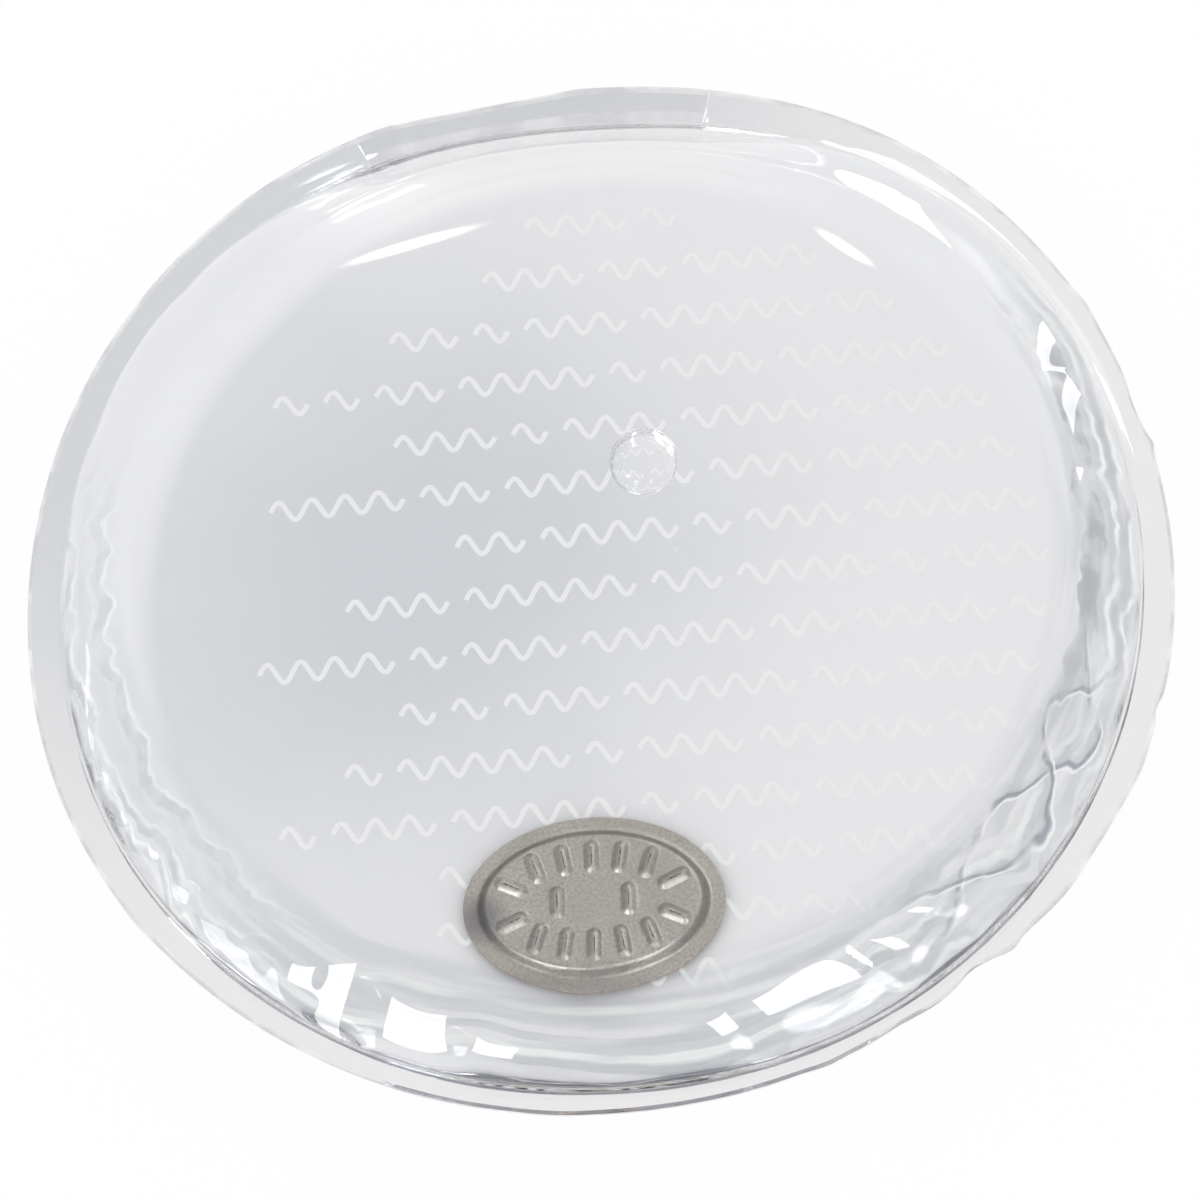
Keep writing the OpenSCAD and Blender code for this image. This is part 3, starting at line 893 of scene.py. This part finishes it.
def disc_sheet():
    """The pressed oval sheet: a flat band, a sloping wall and a plateau with ribs. Rings of its upper
    face run from the middle out to the edge, and those of its lower face back in."""
    a = round_steps(DISC_STEPS)
    inset = np.concatenate([
        spread(0, BAND_W, 5), spread(BAND_W, BAND_W + SLOPE_W, 9)[1:],
        spread(BAND_W + SLOPE_W, DISC_B * 0.97, 52)[1:]])[::-1, None]
    shrunk = (DISC_A - EVEN_IN) * (DISC_B - inset) / (DISC_B - EVEN_IN)
    x = np.where(inset < EVEN_IN, DISC_A - inset, shrunk) * cosd(a)
    y = (DISC_B - inset) * sind(a)
    t = np.clip((inset - BAND_W) / SLOPE_W, 0, 1)
    z = CROWN_RISE * t * t * (3 - 2 * t) + rib_heights(x, y)
    top = on_disc(np.stack([x, y, z + STEEL_T], -1))
    low = on_disc(np.stack([x, y, z], -1))
    edge = np.array([top[-1], low[-1]]).mean(0)[None]
    rings = np.concatenate([top, edge, low[::-1]])
    finish = np.zeros(len(rings) - 1, int)
    finish[len(top) - 1:len(top) + 1] = 1
    z_mid = CROWN_RISE + rib_heights(0.0, 0.0)
    return turned(skin(
        rings, on_disc(np.array([0, 0, z_mid + STEEL_T])), on_disc(np.array([0, 0, z_mid])), finish))


def slit(mx, my, turn):
    """The slit along a rib's crest: a thin dark lens lying on it, painted shade for the slit's depth."""
    v = np.linspace(-1, 1, 15)[:, None]
    k = np.array([-1, 1, 1, -1]) * (SLIT_HALF * np.sqrt(1 - v * v) + SLIT_TIP)
    high = CROWN_RISE + STEEL_T + RIB_H - SLIT_SUNK + SLIT_T * np.array([0, 0, 1, 1])
    v = v * (RIB_L - RIB_W) / 2
    x = mx + k * cosd(turn) - v * sind(turn)
    y = my + k * sind(turn) + v * cosd(turn)
    return turned(skin(on_disc(np.stack([x, y, np.broadcast_to(high, x.shape)], -1)), ends=True))


VINYL = outer_vinyl()
VINYL_WET = wet_vinyl()
BACK_WET = back_vinyl()
# Tints of painted shade at the upper left that lighten to the right
FLANGE_VINYL = flange_vinyl("welded_vinyl", (0.64, 0.655, 0.68), (0.83, 0.82, 0.825), 32, 76)
SEAL_VINYL = flange_vinyl("resealed_vinyl", (0.6, 0.61, 0.63), (0.7, 0.7, 0.71), 40, 62)
LIQUID = salt_solution()
UNSEEN = straight_through("fused_vinyl", CLEAR, CLEAR)
# The cut edge's dim tint is painted shade, the thin dark line that the flange's rounded edge shows as it
# bends light
CUT_VINYL = straight_through("cut_vinyl", (0.8, 0.8, 0.816), (0.95, 0.95, 0.95))
STEEL = steel("sprung_steel", (0.56, 0.53, 0.485), (0.36, 0.335, 0.3), 0.42)
CUT_STEEL = steel("cut_steel", (0.85, 0.62, 0.5), (0.5, 0.33, 0.26), 0.3)
# Dark steel as painted shade in the ribs' slits
SLIT_SHADE_STEEL = steel("slit_shade_steel", (0.3, 0.28, 0.25), (0.05, 0.045, 0.04), 0.3)
INK = pale_ink()

piece("front_sheet", [front_film()], [VINYL, VINYL_WET, UNSEEN], "pouch", ["front_film"])
piece("back_sheet", [back_film()], [VINYL, BACK_WET, UNSEEN], "pouch", ["back_film"])
piece("salt_liquid", [solution(), bubble()], [UNSEEN, LIQUID], "pouch", ["solution"])
piece("flange", [flange_run(MOUTH_LAST, MOUTH_FIRST + 360, 0)], [FLANGE_VINYL, UNSEEN, CUT_VINYL],
      "pouch", ["weld_flange"])
piece("seal", [flange_run(MOUTH_FIRST + SEAL_FREE, MOUTH_LAST - SEAL_FREE, SEAL_BEAD)],
      [SEAL_VINYL, UNSEEN, CUT_VINYL], "pouch", ["mouth_seal"])
piece("printed_lines", printed_rows(), [INK], "pouch", ["back_print"])

sheet = piece("disc_sheet", [disc_sheet()], [STEEL, CUT_STEEL], None, ["clicker_rim", "clicker_crown"])
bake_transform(sheet)
piece("rib_slits", [slit(*place) for place in rib_places()], [SLIT_SHADE_STEEL], "disc_crown", [])

scene = bpy.context.scene
scene.view_settings.view_transform = "Standard"
# Light crosses many clear faces on its way through the pouch
scene.cycles.max_bounces = 32
scene.cycles.transmission_bounces = 32
scene.cycles.glossy_bounces = 32
scene.cycles.transparent_max_bounces = 48
scene.cycles.diffuse_bounces = 1


def white_background():
    """A plain white world at a plain level, which lights the floor evenly."""
    world = bpy.data.worlds.new("studio")
    scene.world = world
    world.use_nodes = True
    world.node_tree.nodes["Background"].inputs["Color"].default_value = (1, 1, 1, 1)
    world.cycles.sampling_method = "NONE"


def softbox(name, azimuth, height, size, radiance, turn=0, soft=0.0, distance=600):
    """A square lamp that shines on the pouch's middle from an azimuth and a height in degrees, turned
    about its own axis. It shows in the vinyl and the steel but lights no matt surface. radiance is its
    brightness as seen, and soft the share of it that fades towards its edge."""
    data = bpy.data.lights.new(name, "AREA")
    data.shape = "RECTANGLE"
    data.size, data.size_y = size[0] * MM, size[1] * MM
    data.energy = radiance * math.pi * data.size * data.size_y
    lamp = bpy.data.objects.new(name, data)
    scene.collection.objects.link(lamp)
    way = Vector((cosd(azimuth) * cosd(height), sind(azimuth) * cosd(height), sind(height)))
    lamp.location = way * distance * MM
    lamp.rotation_mode = "QUATERNION"
    lamp.rotation_quaternion = way.to_track_quat("Z", "Y") @ Quaternion((0, 0, 1), math.radians(turn))
    lamp.visible_diffuse = False
    data.use_nodes = True
    add = Nodes(data)
    path = add.nodes.new("ShaderNodeLightPath")
    level = add.math("LESS_THAN", path.outputs["Diffuse Depth"], 0.5)
    if soft:
        across = add.nodes.new("ShaderNodeNewGeometry").outputs["Parametric"]
        away = add.vector("DISTANCE", across, (0.5, 0.5, 0), output="Value")
        level = add.product(level, add.ramp(away, 0.5, 0.5 - soft / 2))
    add.put(add.nodes["Emission"].inputs["Strength"], level)


white_background()
softbox("front_left", 237, 10, (325, 335), 9)
softbox("front_right", 301, 31, (120, 290), 9)
softbox("back_left_low", 104.6, 34, (48, 190), 16, -3, soft=0.6)
softbox("back_left_high", 102.4, 45.4, (84, 8), 18, 3, soft=0.8)
softbox("back_right_low", 71, 28, (80, 300), 9)
softbox("back_right_high", 76.1, 47.8, (46, 7), 18, -30, soft=0.8)
softbox("back_right_tall", 45, 27, (70, 330), 9)
softbox("back_right_glow", 56, 34, (330, 420), 3, soft=1, distance=700)
softbox("back_left_glow", 104, 42, (150, 90), 1.6, soft=1, distance=700)

# The floor: half its width, and how far it lies under the pouch so that the two don't touch, in metres
FLOOR_HALF = 2
FLOOR_Z = -5e-5


def pale_floor():
    """A plain white matt floor under the pouch."""
    paper, shader = new_material("pale_floor")
    shader.inputs["Base Color"].default_value = (1, 1, 1, 1)
    shader.inputs["Roughness"].default_value = 0.9
    shader.inputs["Specular IOR Level"].default_value = 0
    mesh = bpy.data.meshes.new("floor")
    corners = [(FLOOR_HALF * x, FLOOR_HALF * y, FLOOR_Z) for x, y in ((-1, -1), (1, -1), (1, 1), (-1, 1))]
    mesh.from_pydata(corners, [], [(0, 1, 2, 3)])
    mesh.materials.append(paper)
    made = bpy.data.objects.new("floor", mesh)
    scene.collection.objects.link(made)
    return made


floor = pale_floor()

# The camera, as the photograph has it: how far it is turned, tilted down and rolled, its distance from the
# point that it looks at, that point, and its lens
CAMERA_TURN = 5.6
CAMERA_TILT = 63.26
CAMERA_ROLL = 10.377
CAMERA_FAR = 516.94
CAMERA_AIM = (-0.145, -2.306, 7.5)
LENS = 200


def photograph_camera():
    data = bpy.data.cameras.new("camera")
    data.lens = LENS
    data.sensor_width = 36
    data.clip_start, data.clip_end = 0.01, 20
    camera = bpy.data.objects.new("camera", data)
    scene.collection.objects.link(camera)
    turn, tilt, roll = (math.radians(x) for x in (CAMERA_TURN, CAMERA_TILT, CAMERA_ROLL))
    back = Vector((math.sin(turn) * math.cos(tilt), -math.cos(turn) * math.cos(tilt), math.sin(tilt)))
    right = Vector((math.cos(turn), math.sin(turn), 0))
    up = back.cross(right)
    rolled_right = math.cos(roll) * right - math.sin(roll) * up
    rolled_up = math.sin(roll) * right + math.cos(roll) * up
    place = Matrix((rolled_right, rolled_up, back)).transposed().to_4x4()
    place.translation = (Vector(CAMERA_AIM) + back * CAMERA_FAR) * MM
    camera.matrix_world = place
    scene.camera = camera


photograph_camera()
